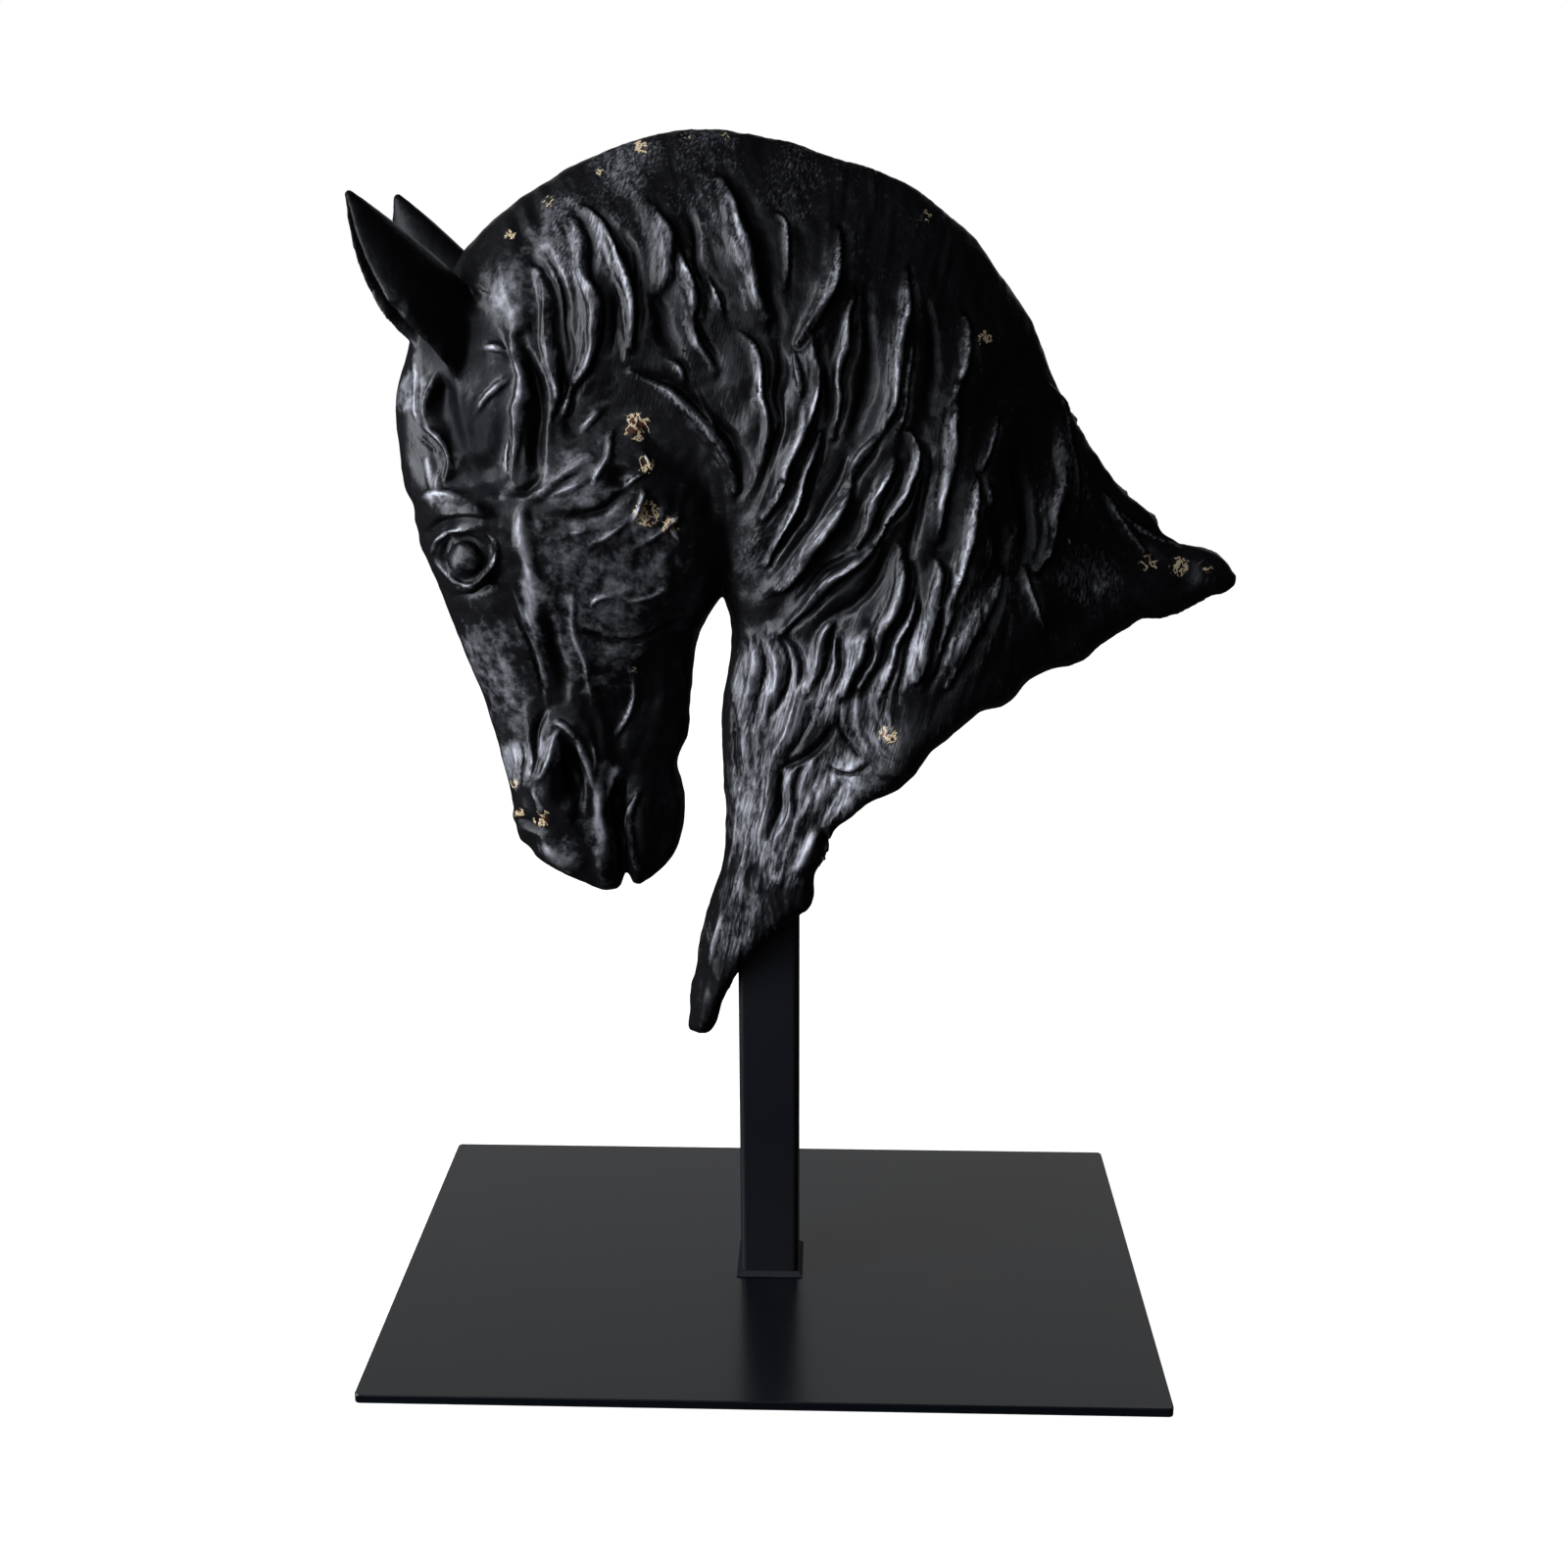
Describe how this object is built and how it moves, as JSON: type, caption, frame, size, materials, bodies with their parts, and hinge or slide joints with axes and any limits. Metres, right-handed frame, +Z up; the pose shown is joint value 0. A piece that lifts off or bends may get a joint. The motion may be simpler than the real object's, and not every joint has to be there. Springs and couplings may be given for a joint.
{
  "type": "horse head sculpture",
  "caption": "Cast horse head and arched neck with a deeply carved mane, held on a square steel post above a flat rectangular steel plate.",
  "frame": {"origin": "centre of the base plate's underside, on the post's axis", "axes": "+Z up along the post, -X the way the horse looks, +Y from the horse's left side to its right side, across the plate's shorter side"},
  "size_m": [0.3422, 0.2, 0.475],
  "materials": {
    "casting": "black satin lacquer on cast resin, with a blue-grey sheen and small worn spots of gold",
    "stand": "satin black powder coat"
  },
  "bodies": {
    "root": {"horse_head": "casting", "post": "stand", "base_plate": "stand"}
  },
  "joints": []
}
